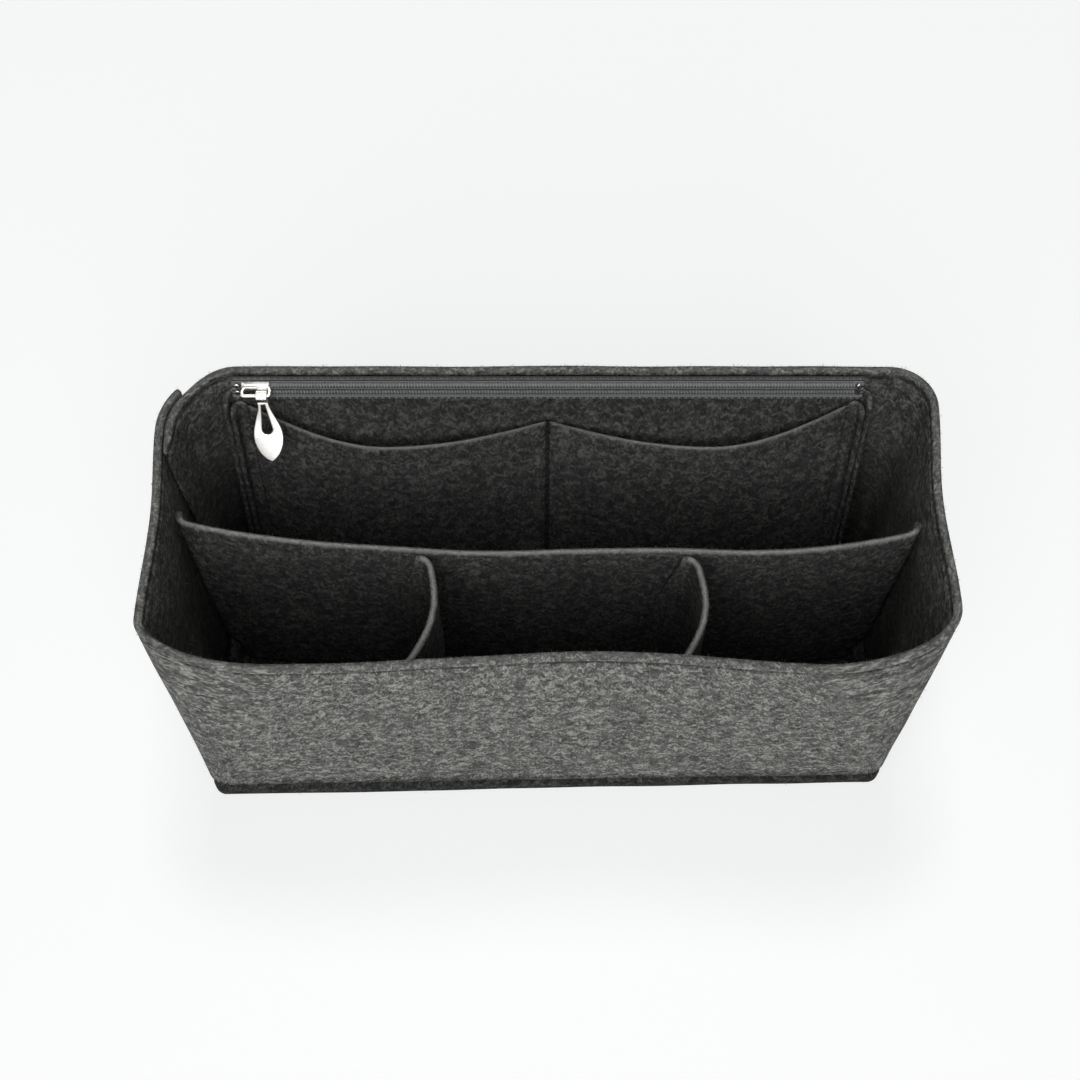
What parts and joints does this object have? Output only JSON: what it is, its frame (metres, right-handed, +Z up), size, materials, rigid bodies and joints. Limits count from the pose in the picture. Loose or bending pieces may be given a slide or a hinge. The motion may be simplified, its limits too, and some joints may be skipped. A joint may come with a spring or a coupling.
{
  "type": "felt purse organizer insert",
  "caption": "Open-topped tapered felt tub that drops into a handbag, with a long divider, cross-divided front pockets, and a rear wall carrying a zip pocket and slip pockets.",
  "frame": {"origin": "centre of the base, on the surface that the organizer stands on", "axes": "+X along the length, to the right as seen from the front; +Y from the front wall to the rear wall with the zip; +Z up"},
  "size_m": [0.2834, 0.1234, 0.135],
  "materials": {
    "wall_felt": "thick heather grey felt",
    "lining_felt": "thinner heather grey felt",
    "zip_tape": "woven grey tape",
    "zip_coil": "grey nylon coil",
    "thread": "dark grey sewing thread",
    "plated_metal": "bright nickel plate"
  },
  "bodies": {
    "organizer": {"outer_band": "wall_felt", "base_panel": "wall_felt", "long_divider": "lining_felt", "left_cross_divider": "lining_felt", "right_cross_divider": "lining_felt", "zip_pocket_panel": "lining_felt", "slip_pocket_panel": "lining_felt", "zip_upper_tape": "zip_tape", "zip_lower_tape": "zip_tape", "zip_upper_coil": "zip_coil", "zip_lower_coil": "zip_coil", "zip_upper_closing_stop": "plated_metal", "zip_lower_closing_stop": "plated_metal", "zip_opening_stop": "plated_metal", "rim_seam_thread": "thread", "hem_seam_thread": "thread", "lap_seam_thread": "thread", "left_divider_seam_thread": "thread", "right_divider_seam_thread": "thread", "left_cross_rear_seam_thread": "thread", "left_cross_front_seam_thread": "thread", "right_cross_rear_seam_thread": "thread", "right_cross_front_seam_thread": "thread", "left_panel_seam_thread": "thread", "right_panel_seam_thread": "thread", "pocket_centre_seam_thread": "thread", "zip_upper_seam_thread": "thread", "zip_lower_seam_thread": "thread"},
    "slider": {"zip_slider": "plated_metal"},
    "puller": {"zip_puller": "plated_metal"}
  },
  "joints": [
    {"name": "zip_slide", "type": "slide", "parent": "organizer", "child": "slider", "axis": [1, 0, 0], "range_m": [0, 0.2125]},
    {"name": "puller_lift", "type": "hinge", "parent": "slider", "child": "puller", "pos_m": [-0.10625, 0.04984, 0.13132], "axis": [-1, 0, 0], "range_deg": [-16, 180]}
  ]
}
